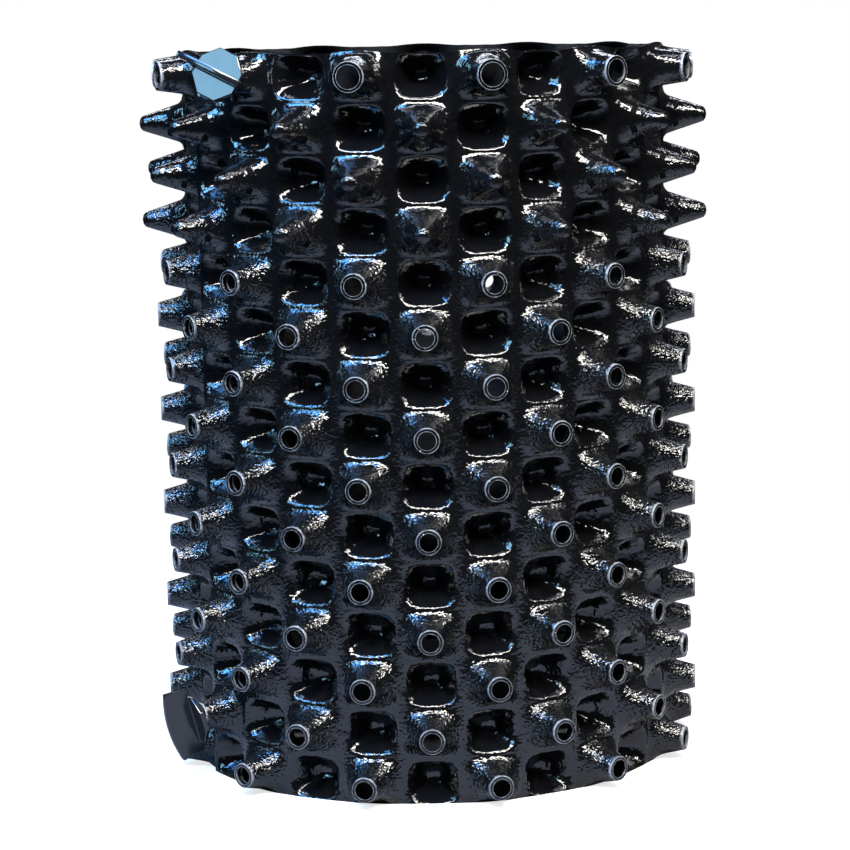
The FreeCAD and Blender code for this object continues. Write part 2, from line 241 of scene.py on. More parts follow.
def cell_mesh(name, kind, low, high, wave):
    """One cell: outer skin, cut edge if it has one, and inner skin.

    The inner skin has only every second ring, and always the last one."""
    edge = boundary(low, high, wave)
    rings = [kept_inside(ring(kind, share), low, high, wave, RING_INSET * (k + 1))
             for k, share in enumerate(RINGS[kind])]
    middle = [((a[0] + b[0]) / 2, (a[1] + b[1]) / 2) for a, b in zip(edge, rings[0])]
    outer = [[(u, v, cell_height(kind, u, v)) for u, v in loop] for loop in [edge, middle] + rings]
    inner_edge = [(u, v, w - SHEET_THICKNESS) for u, v, w in outer[0]]
    inner_rings = range(3 - len(outer) % 2, len(outer), 2)
    inner = [inner_edge] + [[below(kind, p, low, high) for p in outer[k]] for k in inner_rings]
    if kind != "dimple":
        outer = [outer[0]] + [narrowed(loop) for loop in outer[1:]]
        inner = [inner[0]] + [narrowed(loop) for loop in inner[1:]]
    bm = bmesh.new()
    side = bm.verts.layers.float.new("side")
    rise = bm.verts.layers.float.new("rise")

    def add_loop(points, where=OUTER_SKIN):
        made = [bm.verts.new(p) for p in points]
        for vert in made:
            vert[rise] = vert.co.z / CUT_LENGTH
            vert[side] = where
        return made

    def skin(loops):
        for near, far in zip(loops, loops[1:]):
            for i in range(LOOP_POINTS):
                j = (i + 1) % LOOP_POINTS
                bm.faces.new((near[i], near[j], far[j], far[i]))

    outer_loops = [add_loop(loop) for loop in outer]
    skin(outer_loops)
    if kind in ("cut", "rim"):
        wall = CUT_WALL / FLANK_TOPS[kind][0]
        half_way, hole = [add_loop([(u * width, v * width, w) for u, v, w in outer[-1]])
                          for width in (1 - wall / 2, 1 - wall)]
        skin([outer_loops[-1], half_way, hole])
        # Both edges of the cut are marked for pale lines with a darker band between: partly burrs,
        # partly painted highlights of the rounded edges.
        for vert in outer_loops[-1] + hole:
            vert[side] = CUT_EDGE
        inner_loops = [hole] + [add_loop(loop, INNER_SKIN) for loop in reversed(inner[:-1])]
        skin(inner_loops)
    else:
        inner_loops = [add_loop(loop, INNER_SKIN) for loop in reversed(inner)]
        skin(inner_loops)
        for loop, out in ((outer_loops[-1], 1), (inner_loops[0], -1)):
            top = cell_height(kind, 0, 0) - (SHEET_THICKNESS if out < 0 else 0)
            centre = add_loop([(0, 0, top)], OUTER_SKIN if out > 0 else INNER_SKIN)[0]
            for i in range(LOOP_POINTS):
                a, b = loop[i], loop[(i + 1) % LOOP_POINTS]
                bm.faces.new((a, b, centre) if out > 0 else (b, a, centre))
    for face in bm.faces:
        face.smooth = True
    mesh = bpy.data.meshes.new(name)
    bm.to_mesh(mesh)
    bm.free()
    return bpy.data.objects.new(name, mesh)


def narrowed(loop):
    """Undoes the widening that rolling the sheet gives to what stands off it."""
    return [(u * FACE_RADIUS / (FACE_RADIUS + w), v, w) for u, v, w in loop]


# The lattice is laid out flat by a node tree, one tile for each cell, and then rolled into a tube.

NUMBER_MATCH = 0.25  # whole numbers of the node tree count as equal within this
MERGE_DISTANCE = 0.01 * MM
SHEET_SHARP_ANGLE = math.radians(55)

TILES = (
    # name, form, first row, last row, reach below its centre, reach above, wave of the upper edge
    ("rim_cone", "rim", 1, 1, ROW_PITCH / 2, EDGE_MARGIN, RIM_WAVE),
    ("rim_dimple", "dimple", 1, 1, ROW_PITCH / 2, EDGE_MARGIN, -RIM_WAVE),
    ("closed_cone", "closed", FIRST_CLOSED_ROW, LAST_CLOSED_ROW, ROW_PITCH / 2, ROW_PITCH / 2, 0.0),
    ("cut_cone", "cut", LAST_CLOSED_ROW + 1, ROWS - 1, ROW_PITCH / 2, ROW_PITCH / 2, 0.0),
    ("dimple", "dimple", 2, ROWS - 1, ROW_PITCH / 2, ROW_PITCH / 2, 0.0),
    ("foot_cone", "cut", ROWS, ROWS, EDGE_MARGIN, ROW_PITCH / 2, 0.0),
    ("foot_dimple", "dimple", ROWS, ROWS, EDGE_MARGIN, ROW_PITCH / 2, 0.0),
)

LATTICE_SIZES = (
    ("Sheet Columns", "NodeSocketInt", SHEET_COLUMNS),
    ("Turn Columns", "NodeSocketInt", TURN_COLUMNS),
    ("Seam Column", "NodeSocketInt", SEAM_COLUMN),
    ("Rows", "NodeSocketInt", ROWS),
    ("Column Pitch", "NodeSocketFloat", COLUMN_PITCH),
    ("Row Pitch", "NodeSocketFloat", ROW_PITCH),
    ("Edge Margin", "NodeSocketFloat", EDGE_MARGIN),
    ("Face Radius", "NodeSocketFloat", FACE_RADIUS),
    ("Seam Lift", "NodeSocketFloat", SEAM_LIFT),
    ("Lift Columns", "NodeSocketInt", LIFT_COLUMNS),
)


def lattice_tree(material):
    """Tiles on a grid, cones and dimples in turn, merged and rolled into an overlapping tube."""
    tree = bpy.data.node_groups.new("Rolled cone sheet", "GeometryNodeTree")
    for name, kind, _ in LATTICE_SIZES:
        tree.interface.new_socket(name=name, in_out="INPUT", socket_type=kind)
    for tile in TILES:
        tree.interface.new_socket(name=tile[0], in_out="INPUT", socket_type="NodeSocketObject")
    tree.interface.new_socket(name="Geometry", in_out="OUTPUT", socket_type="NodeSocketGeometry")
    given = add_node(tree, "NodeGroupInput").outputs
    maths = "ShaderNodeMath"

    # The grid, with one point at the axis of each cone or dimple.
    gaps_across = add_node(tree, maths, {"operation": "SUBTRACT", 1: 1.0},
                           {0: given["Sheet Columns"]})
    gaps_up = add_node(tree, maths, {"operation": "SUBTRACT", 1: 1.0}, {0: given["Rows"]})
    width = add_node(tree, maths, {"operation": "MULTIPLY"},
                     {0: gaps_across.outputs[0], 1: given["Column Pitch"]})
    height = add_node(tree, maths, {"operation": "MULTIPLY"},
                      {0: gaps_up.outputs[0], 1: given["Row Pitch"]})
    grid = add_node(tree, "GeometryNodeMeshGrid", {},
                    {"Size X": width.outputs[0], "Size Y": height.outputs[0],
                     "Vertices X": given["Sheet Columns"], "Vertices Y": given["Rows"]})

    # Row and column of each point, rows from the top; dimples where their difference is odd.
    place = add_node(tree, "ShaderNodeSeparateXYZ", {},
                     {0: add_node(tree, "GeometryNodeInputPosition").outputs[0]})
    half_across = add_node(tree, maths, {"operation": "DIVIDE", 1: 2.0},
                           {0: gaps_across.outputs[0]})
    half_up = add_node(tree, maths, {"operation": "DIVIDE", 1: 2.0}, {0: gaps_up.outputs[0]})
    across = add_node(tree, maths, {"operation": "DIVIDE"},
                      {0: place.outputs["X"], 1: given["Column Pitch"]})
    column = add_node(tree, maths, {"operation": "ADD"},
                      {0: across.outputs[0], 1: half_across.outputs[0]})
    up = add_node(tree, maths, {"operation": "DIVIDE"},
                  {0: place.outputs["Y"], 1: given["Row Pitch"]})
    down = add_node(tree, maths, {"operation": "SUBTRACT"},
                    {0: half_up.outputs[0], 1: up.outputs[0]})
    row = add_node(tree, maths, {"operation": "ADD", 1: 1.0}, {0: down.outputs[0]})
    from_seam = add_node(tree, maths, {"operation": "ADD"},
                         {0: column.outputs[0], 1: given["Seam Column"]})
    step = add_node(tree, maths, {"operation": "SUBTRACT"},
                    {0: from_seam.outputs[0], 1: row.outputs[0]})
    whole_step = add_node(tree, maths, {"operation": "ROUND"}, {0: step.outputs[0]})
    turn = add_node(tree, maths, {"operation": "FLOORED_MODULO", 1: 2.0},
                    {0: whole_step.outputs[0]})

    gathered = add_node(tree, "GeometryNodeJoinGeometry")
    for name, form, first, last, _, _, _ in TILES:
        wanted = 1.0 if form == "dimple" else 0.0
        right_form = add_node(tree, maths, {"operation": "COMPARE", 1: wanted, 2: NUMBER_MATCH},
                              {0: turn.outputs[0]})
        in_rows = add_node(tree, maths,
                           {"operation": "COMPARE", 1: (first + last) / 2,
                            2: (last - first) / 2 + NUMBER_MATCH},
                           {0: row.outputs[0]})
        chosen = add_node(tree, maths, {"operation": "MULTIPLY"},
                          {0: right_form.outputs[0], 1: in_rows.outputs[0]})
        tile = add_node(tree, "GeometryNodeObjectInfo", {}, {"Object": given[name]})
        tiled = add_node(tree, "GeometryNodeInstanceOnPoints", {},
                         {"Points": grid.outputs["Mesh"], "Selection": chosen.outputs[0],
                          "Instance": tile.outputs["Geometry"]})
        tree.links.new(tiled.outputs["Instances"], gathered.inputs[0])

    real = add_node(tree, "GeometryNodeRealizeInstances", {}, {"Geometry": gathered.outputs[0]})
    joined = add_node(tree, "GeometryNodeMergeByDistance", {"Distance": MERGE_DISTANCE},
                      {"Geometry": real.outputs[0]})

    # Rolling: u becomes an angle, w a radius and v the height. The overlap stands off.
    spot = add_node(tree, "ShaderNodeSeparateXYZ", {},
                    {0: add_node(tree, "GeometryNodeInputPosition").outputs[0]})
    cells = add_node(tree, maths, {"operation": "DIVIDE"},
                     {0: spot.outputs["X"], 1: given["Column Pitch"]})
    half_sheet = add_node(tree, maths, {"operation": "DIVIDE", 1: 2.0}, {0: given["Sheet Columns"]})
    edge = add_node(tree, maths, {"operation": "ADD"},
                    {0: cells.outputs[0], 1: half_sheet.outputs[0]})
    start = add_node(tree, maths, {"operation": "SUBTRACT", 1: 0.5}, {0: given["Seam Column"]})
    round_pot = add_node(tree, maths, {"operation": "ADD"},
                         {0: edge.outputs[0], 1: start.outputs[0]})
    radians = add_node(tree, maths, {"operation": "DIVIDE", 0: 2 * math.pi},
                       {1: given["Turn Columns"]})
    angle = add_node(tree, maths, {"operation": "MULTIPLY"},
                     {0: round_pot.outputs[0], 1: radians.outputs[0]})
    overlap = add_node(tree, maths, {"operation": "SUBTRACT"},
                       {0: given["Sheet Columns"], 1: given["Turn Columns"]})
    lift_end = add_node(tree, maths, {"operation": "ADD"},
                        {0: overlap.outputs[0], 1: given["Lift Columns"]})
    lifted = add_node(tree, "ShaderNodeMapRange",
                      {"interpolation_type": "SMOOTHSTEP", "To Max": 0.0},
                      {"Value": edge.outputs[0], "From Min": overlap.outputs[0],
                       "From Max": lift_end.outputs[0], "To Min": given["Seam Lift"]})
    standing = add_node(tree, maths, {"operation": "ADD"},
                        {0: spot.outputs["Z"], 1: lifted.outputs["Result"]})
    radius = add_node(tree, maths, {"operation": "ADD"},
                      {0: standing.outputs[0], 1: given["Face Radius"]})
    sine = add_node(tree, maths, {"operation": "SINE"}, {0: angle.outputs[0]})
    cosine = add_node(tree, maths, {"operation": "COSINE"}, {0: angle.outputs[0]})
    x = add_node(tree, maths, {"operation": "MULTIPLY"}, {0: radius.outputs[0], 1: sine.outputs[0]})
    back = add_node(tree, maths, {"operation": "MULTIPLY"},
                    {0: radius.outputs[0], 1: cosine.outputs[0]})
    y = add_node(tree, maths, {"operation": "MULTIPLY", 1: -1.0}, {0: back.outputs[0]})
    half_height = add_node(tree, maths, {"operation": "DIVIDE", 1: 2.0}, {0: height.outputs[0]})
    raised = add_node(tree, maths, {"operation": "ADD"},
                      {0: spot.outputs["Y"], 1: half_height.outputs[0]})
    z = add_node(tree, maths, {"operation": "ADD"}, {0: raised.outputs[0], 1: given["Edge Margin"]})
    target = add_node(tree, "ShaderNodeCombineXYZ", {},
                      {"X": x.outputs[0], "Y": y.outputs[0], "Z": z.outputs[0]})
    rolled = add_node(tree, "GeometryNodeSetPosition", {},
                      {"Geometry": joined.outputs[0], "Position": target.outputs[0]})
    dressed = add_node(tree, "GeometryNodeSetMaterial", {"Material": material},
                       {"Geometry": rolled.outputs[0]})
    add_node(tree, "NodeGroupOutput", {}, {"Geometry": dressed.outputs[0]})
    return tree


def plain_mesh(holder, name):
    """The evaluated mesh of an object, as a new object with no modifier."""
    evaluated = holder.evaluated_get(bpy.context.evaluated_depsgraph_get())
    mesh = bpy.data.meshes.new_from_object(evaluated)
    mesh.name = name
    made = bpy.data.objects.new(name, mesh)
    bpy.context.scene.collection.objects.link(made)
    bpy.data.objects.remove(holder)
    return made


def close_sheet_edges(mesh):
    """Joins the rims of the outer and inner skins round the whole sheet."""
    bm = bmesh.new()
    bm.from_mesh(mesh)
    bmesh.ops.bridge_loops(bm, edges=[edge for edge in bm.edges if edge.is_boundary])
    bm.to_mesh(mesh)
    bm.free()


def make_rolled_sheet(material):
    """The whole sheet as one closed mesh."""
    tiles = {name: cell_mesh(name, form, low, high, wave)
             for name, form, _, _, low, high, wave in TILES}
    for tile in tiles.values():
        bpy.context.scene.collection.objects.link(tile)
    holder = bpy.data.objects.new("lattice", bpy.data.meshes.new("lattice"))
    bpy.context.scene.collection.objects.link(holder)
    modifier = holder.modifiers.new("Rolled cone sheet", "NODES")
    modifier.node_group = lattice_tree(material)
    values = {name: value for name, _, value in LATTICE_SIZES}
    values.update(tiles)
    for item in modifier.node_group.interface.items_tree:
        if item.in_out == "INPUT":
            modifier[item.identifier] = values[item.name]
    sheet = plain_mesh(holder, "rolled_sheet")
    for tile in tiles.values():
        bpy.data.objects.remove(tile)
    close_sheet_edges(sheet.data)
    sheet.data.set_sharp_from_angle(angle=SHEET_SHARP_ANGLE)
    return sheet


# The thumb screws, made lying on their plate and then set on their cone.

PLATE_SIDES, PLATE_RADIUS, PLATE_THICKNESS = 8, 13.4 * MM, 2.5 * MM
FIN_BASE, FIN_OUTER, FIN_THICKNESS = 34 * MM, 37 * MM, 3 * MM
FIN_END_HEIGHT, FIN_MIDDLE_HEIGHT = 14 * MM, 17 * MM
FIN_ARC_POINTS = 14
BEVEL_WIDTH, BEVEL_SEGMENTS, BEVEL_ANGLE = 0.5 * MM, 2, math.radians(35)
SHANK_RADIUS, SHANK_LENGTH, POINT_LENGTH, POINT_RADIUS = 3.2 * MM, 17 * MM, 9 * MM, 1.5 * MM
SHANK_SUNK = 0.4 * MM  # how deep in the plate the shank starts
THREAD_PITCH, THREAD_DEPTH = 2.5 * MM, 0.5 * MM
THREAD_AROUND, THREAD_ALONG = 28, 72
SCREW_SHARP_ANGLE = math.radians(40)
SMALL_FACE = 12 * MM ** 2  # larger faces are flat and shaded flat

# The tip of a cone of the solid has this many sides; the plate clears its corners by the gap.
TIP_SIDES = 8
SEAT_GAP = 0.05 * MM

SCREWS = (
    # name, node, row, column, swing, lean and angle of the grip in degrees, form of the cone
    ("thumb_screw_top", "top_screw", 1, -3, 22, 16, -25, "rim"),
    ("thumb_screw_bottom", "bottom_screw", 14, -4, -4, -15, -88, "cut"),
)


def prism(outline, start, depth):
    """A closed prism: the outline's corners and the way that it is pushed."""
    bm = bmesh.new()
    near = [bm.verts.new(Vector(p) + start) for p in outline]
    far = [bm.verts.new(Vector(p) + start + depth) for p in outline]
    bm.faces.new(near)
    bm.faces.new(list(reversed(far)))
    for i in range(len(outline)):
        j = (i + 1) % len(outline)
        bm.faces.new((near[j], near[i], far[i], far[j]))
    bmesh.ops.recalc_face_normals(bm, faces=bm.faces)
    mesh = bpy.data.meshes.new("prism")
    bm.to_mesh(mesh)
    bm.free()
    made = bpy.data.objects.new("prism", mesh)
    bpy.context.scene.collection.objects.link(made)
    return made


def screw_head(name):
    """Eight-sided plate with a bowed finger grip across it, all edges rounded."""
    angles = [2 * math.pi * (i + 0.5) / PLATE_SIDES for i in range(PLATE_SIDES)]
    corners = [(PLATE_RADIUS * math.cos(a), PLATE_RADIUS * math.sin(a), 0) for a in angles]
    plate = prism(corners, Vector((0, 0, 0)), UP * PLATE_THICKNESS)
    bow = FIN_MIDDLE_HEIGHT - FIN_END_HEIGHT
    outline = [(-FIN_BASE / 2, 0, PLATE_THICKNESS / 2), (FIN_BASE / 2, 0, PLATE_THICKNESS / 2)]
    for i in range(FIN_ARC_POINTS + 1):
        share = 1 - 2 * i / FIN_ARC_POINTS
        outline.append((FIN_OUTER / 2 * share, 0, FIN_END_HEIGHT + bow * (1 - share ** 2)))
    fin = prism(outline, Vector((0, -FIN_THICKNESS / 2, 0)), Vector((0, FIN_THICKNESS, 0)))
    union = plate.modifiers.new("Union", "BOOLEAN")
    union.operation = "UNION"
    union.object = fin
    union.solver = "EXACT"
    bevel = plate.modifiers.new("Rounded edges", "BEVEL")
    bevel.width = BEVEL_WIDTH
    bevel.segments = BEVEL_SEGMENTS
    bevel.limit_method = "ANGLE"
    bevel.angle_limit = BEVEL_ANGLE
    head = plain_mesh(plate, name)
    bpy.data.objects.remove(fin)
    return head


def threaded_shank(bm):
    """A closed round shank with a helical ridge that fades into its point."""
    around = THREAD_AROUND
    loops = []
    for k in range(THREAD_ALONG + 1):
        depth = SHANK_LENGTH * k / THREAD_ALONG
        taper = min(max((depth - (SHANK_LENGTH - POINT_LENGTH)) / POINT_LENGTH, 0.0), 1.0)
        core = SHANK_RADIUS + (POINT_RADIUS - SHANK_RADIUS) * taper
        loop = []
        for i in range(around):
            angle = 2 * math.pi * i / around
            phase = (depth / THREAD_PITCH + i / around) * 2 * math.pi
            groove = THREAD_DEPTH * (0.5 - 0.5 * math.cos(phase)) * (1 - taper)
            radius = core - groove
            loop.append(bm.verts.new((radius * math.cos(angle), radius * math.sin(angle),
                                      SHANK_SUNK - depth)))
        loops.append(loop)
    for near, far in zip(loops, loops[1:]):
        for i in range(around):
            j = (i + 1) % around
            bm.faces.new((near[i], far[i], far[j], near[j]))
    bm.faces.new(loops[0])
    bm.faces.new(list(reversed(loops[-1])))


def make_screw(name, row, column, swing, lean, fin_angle, cone, material):
    """A screw through two nested cones; swing and lean turn its axis off theirs."""
    head = screw_head(name)
    bm = bmesh.new()
    bm.from_mesh(head.data)
    threaded_shank(bm)
    angle = column * COLUMN_STEP
    side = Vector((math.cos(angle), math.sin(angle), 0))
    normal = Vector((math.sin(angle), -math.cos(angle), 0))
    level_angle, up_angle = angle + math.radians(swing), math.radians(lean)
    level = Vector((math.cos(level_angle), math.sin(level_angle), 0))
    forth = Vector((math.sin(level_angle), -math.cos(level_angle), 0))
    axis = forth * math.cos(up_angle) + UP * math.sin(up_angle)
    turn = math.radians(fin_angle)
    along = level * math.cos(turn) + axis.cross(level) * math.sin(turn)
    tip_radius, length = FLANK_TOPS[cone]
    middle = (normal * (FACE_RADIUS + SEAM_LIFT / 2 + length)
              + UP * (EDGE_MARGIN + (ROWS - row) * ROW_PITCH))
    standoff = SEAT_GAP
    for i in range(TIP_SIDES):
        a = 2 * math.pi * (i + 0.5) / TIP_SIDES
        corner = (side * math.cos(a) + UP * math.sin(a)) * tip_radius + normal * SEAM_LIFT / 2
        standoff = max(standoff, corner.dot(axis) + SEAT_GAP)
    basis = Matrix((along, axis.cross(along), axis)).transposed().to_4x4()
    bm.transform(Matrix.Translation(middle + axis * standoff) @ basis)
    bm.to_mesh(head.data)
    bm.free()
    head.data.set_sharp_from_angle(angle=SCREW_SHARP_ANGLE)
    for face in head.data.polygons:
        face.use_smooth = face.area < SMALL_FACE
    head.data.materials.clear()
    head.data.materials.append(material)
    return head


# Materials. Scales of noise are one over the size of its lumps.

# Sockets of a mix node, by number because each name stands there once for every kind of value.
MIX_SHARE, MIX_NUMBER_A, MIX_NUMBER_B, MIX_COLOUR_A, MIX_COLOUR_B = 0, 2, 3, 6, 7
MIXED_NUMBER, MIXED_COLOUR = 0, 2

POLYETHYLENE_IOR, NYLON_IOR, POLYPROPYLENE_IOR = 1.54, 1.53, 1.49
PEBBLED_BELOW, SMOOTHER_ABOVE = 270 * MM, 330 * MM  # heights on the sheet


def cleared_tree(owner):
    """The node tree of a material or world, emptied."""
    owner.use_nodes = True
    owner.node_tree.nodes.clear()
    return owner.node_tree


def new_material(name):
    material = bpy.data.materials.new(name)
    tree = cleared_tree(material)
    shader = add_node(tree, "ShaderNodeBsdfPrincipled")
    add_node(tree, "ShaderNodeOutputMaterial", {}, {"Surface": shader.outputs[0]})
    return material, tree, shader


def thermoformed_polyethylene():
    """Black high-density polyethylene, drawn hot into a mould.

    The outside has a wet gloss over a faint orange peel. It is pebbled where the cones were
    stretched, but hardly so in the thicker top rows. Both edges of each cut tip are pale grey in
    ragged lines, partly burrs and partly painted highlights of the rounded edges; the inside is
    dull."""
    material, tree, shader = new_material("thermoformed_black_polyethylene")
    where = add_node(tree, "ShaderNodeTexCoord").outputs["Object"]

    # Colour: near black, clouded, with pale ragged lines at the cut edges that are partly burrs and
    # partly painted highlights of the rounded edges.
    side = add_node(tree, "ShaderNodeAttribute", {"attribute_name": "side"})
    ragged = add_node(tree, "ShaderNodeTexNoise", {"Scale": 1 / (3 * MM), "Detail": 2.0},
                      {"Vector": where})
    burr_and_painted_glint = add_node(tree, "ShaderNodeMath", {"operation": "MULTIPLY_ADD", 1: 0.6},
                      {0: ragged.outputs["Fac"], 2: side.outputs["Fac"]})
    cut = add_node(tree, "ShaderNodeMapRange", {"From Min": 1.0, "From Max": 1.3},
                   {"Value": burr_and_painted_glint.outputs[0]})
    cloud = add_node(tree, "ShaderNodeTexNoise", {"Scale": 1 / (12 * MM), "Detail": 3.0},
                     {"Vector": where})
    tint = add_node(tree, "ShaderNodeMix",
                    {"data_type": "RGBA", MIX_COLOUR_A: linear("040405"),
                     MIX_COLOUR_B: linear("0a0b0d")},
                    {MIX_SHARE: cloud.outputs["Fac"]})
    # Pale grey on both edges of the cut: partly burrs, partly painted highlights of the rounded
    # edges.
    colour = add_node(tree, "ShaderNodeMix",
                      {"data_type": "RGBA", MIX_COLOUR_B: linear("7c7f83")},
                      {MIX_SHARE: cut.outputs[0], MIX_COLOUR_A: tint.outputs[MIXED_COLOUR]})

    # Gloss: high outside, low on the inner skin and on the pale lines at the cut edges.
    gloss = add_node(tree, "ShaderNodeMapRange", {"To Min": 0.05, "To Max": 0.14},
                     {"Value": cloud.outputs["Fac"]})
    inner = add_node(tree, "ShaderNodeMapRange", {"From Min": -0.1, "From Max": -0.7},
                     {"Value": side.outputs["Fac"]})
    satin = add_node(tree, "ShaderNodeMix", {MIX_NUMBER_B: 0.7},
                     {MIX_SHARE: inner.outputs[0], MIX_NUMBER_A: gloss.outputs[0]})
    sheen = add_node(tree, "ShaderNodeMapRange", {"To Min": 0.5, "To Max": 0.04},
                     {"Value": inner.outputs[0]})
    dull = add_node(tree, "ShaderNodeMix", {MIX_NUMBER_B: 0.55},
                    {MIX_SHARE: cut.outputs[0], MIX_NUMBER_A: satin.outputs[MIXED_NUMBER]})

    # Relief: pebbles on the cones, fewer in the top rows, over orange peel.
    rise = add_node(tree, "ShaderNodeAttribute", {"attribute_name": "rise"})
    stretched = add_node(tree, "ShaderNodeMapRange",
                         {"From Min": -0.1, "From Max": 0.25, "To Min": 0.2, "To Max": 1.0},
                         {"Value": rise.outputs["Fac"]})
    height = add_node(tree, "ShaderNodeSeparateXYZ", {}, {0: where})
    thinned = add_node(tree, "ShaderNodeMapRange",
                       {"From Min": PEBBLED_BELOW, "From Max": SMOOTHER_ABOVE,
                        "To Min": 1.0, "To Max": 0.3},
                       {"Value": height.outputs["Z"]})
    drawn = add_node(tree, "ShaderNodeMath", {"operation": "MULTIPLY"},
                     {0: stretched.outputs[0], 1: thinned.outputs[0]})
    pebble = add_node(tree, "ShaderNodeTexNoise", {"Scale": 1 / (1.6 * MM), "Detail": 1.0},
                      {"Vector": where})
    grain = add_node(tree, "ShaderNodeMath", {"operation": "MULTIPLY"},
                     {0: pebble.outputs["Fac"], 1: drawn.outputs[0]})
    peel = add_node(tree, "ShaderNodeTexNoise", {"Scale": 1 / (6 * MM), "Detail": 1.0},
                    {"Vector": where})
    soft = add_node(tree, "ShaderNodeBump", {"Strength": 0.6, "Distance": 1.0 * MM},
                    {"Height": peel.outputs["Fac"]})
    fine = add_node(tree, "ShaderNodeBump", {"Strength": 1.0, "Distance": 0.9 * MM},
                    {"Height": grain.outputs[0], "Normal": soft.outputs[0]})

    shader.inputs["IOR"].default_value = POLYETHYLENE_IOR
    tree.links.new(colour.outputs[MIXED_COLOUR], shader.inputs["Base Color"])
    tree.links.new(dull.outputs[MIXED_NUMBER], shader.inputs["Roughness"])
    tree.links.new(sheen.outputs[0], shader.inputs["Specular IOR Level"])
    tree.links.new(fine.outputs[0], shader.inputs["Normal"])
    return material


def moulded_black_nylon():
    """Black nylon from a polished mould: a flat, almost mirror-like gloss with faint flow marks."""
    material, tree, shader = new_material("moulded_black_nylon")
    where = add_node(tree, "ShaderNodeTexCoord").outputs["Object"]
    flow = add_node(tree, "ShaderNodeTexNoise", {"Scale": 1 / (6 * MM), "Detail": 3.0},
                    {"Vector": where})
    tint = add_node(tree, "ShaderNodeMix",
                    {"data_type": "RGBA", MIX_COLOUR_A: linear("0c0d10"),
                     MIX_COLOUR_B: linear("14161a")},
                    {MIX_SHARE: flow.outputs["Fac"]})
    gloss = add_node(tree, "ShaderNodeMapRange", {"To Min": 0.08, "To Max": 0.2},
                     {"Value": flow.outputs["Fac"]})
    waves = add_node(tree, "ShaderNodeBump", {"Strength": 0.08, "Distance": 0.2 * MM},
                     {"Height": flow.outputs["Fac"]})
    shader.inputs["IOR"].default_value = NYLON_IOR
    tree.links.new(tint.outputs[MIXED_COLOUR], shader.inputs["Base Color"])
    tree.links.new(gloss.outputs[0], shader.inputs["Roughness"])
    tree.links.new(waves.outputs[0], shader.inputs["Normal"])
    return material


def moulded_black_polypropylene():
    """Recycled black polypropylene from a textured mould: matt, finely grained, faintly mottled."""
    material, tree, shader = new_material("moulded_black_polypropylene")
    where = add_node(tree, "ShaderNodeTexCoord").outputs["Object"]
    mottle = add_node(tree, "ShaderNodeTexNoise", {"Scale": 1 / (20 * MM), "Detail": 4.0},
                      {"Vector": where})
    tint = add_node(tree, "ShaderNodeMix",
                    {"data_type": "RGBA", MIX_COLOUR_A: linear("17181a"),
                     MIX_COLOUR_B: linear("242527")},
                    {MIX_SHARE: mottle.outputs["Fac"]})
    dull = add_node(tree, "ShaderNodeMapRange", {"To Min": 0.42, "To Max": 0.58},
                    {"Value": mottle.outputs["Fac"]})
    grain = add_node(tree, "ShaderNodeTexNoise", {"Scale": 1 / (1.2 * MM), "Detail": 2.0},
                     {"Vector": where})
    bumps = add_node(tree, "ShaderNodeBump", {"Strength": 0.4, "Distance": 0.15 * MM},
                     {"Height": grain.outputs["Fac"]})
    shader.inputs["IOR"].default_value = POLYPROPYLENE_IOR
    tree.links.new(tint.outputs[MIXED_COLOUR], shader.inputs["Base Color"])
    tree.links.new(dull.outputs[0], shader.inputs["Roughness"])
    tree.links.new(bumps.outputs[0], shader.inputs["Normal"])
    return material


# The studio: a pale floor, soft lamps and the camera.

FLOOR_HALF = 6.0
FADE_START, FADE_END = 0.2, 0.8  # distances from the pot's middle between which the floor whitens
GLOW_START, GLOW_END, GLOW = 0.121, 0.127, 0.72  # the floor inside the pot has no glow

LAMP_AIM = 0.25 * UP
LAMPS = (
    # name, azimuth and elevation in degrees, distance, width, height, radiance, colour
    ("softbox_front", 14, 50, 1.5, 1.8, 0.40, 42.0, "fffaf2"),
    ("softbox_above", 0, 80, 1.5, 1.8, 0.2, 9.0, "eef3ff"),
    ("softbox_back", 180, 42, 1.6, 1.6, 0.3, 9.0, "eef3ff"),
    ("skylight_left", -50, 50, 1.5, 0.9, 0.42, 36.0, "5aa9ff"),
    ("window_left", -47, 27, 1.4, 0.46, 0.36, 15.0, "9bd8ff"),
    ("window_far_left", -98, 22, 1.4, 0.20, 0.6, 12.0, "9bd8ff"),
    ("window_right", 74, 30, 1.5, 0.20, 0.5, 14.0, "ffffff"),
)
WORLD_LIGHT = 0.05


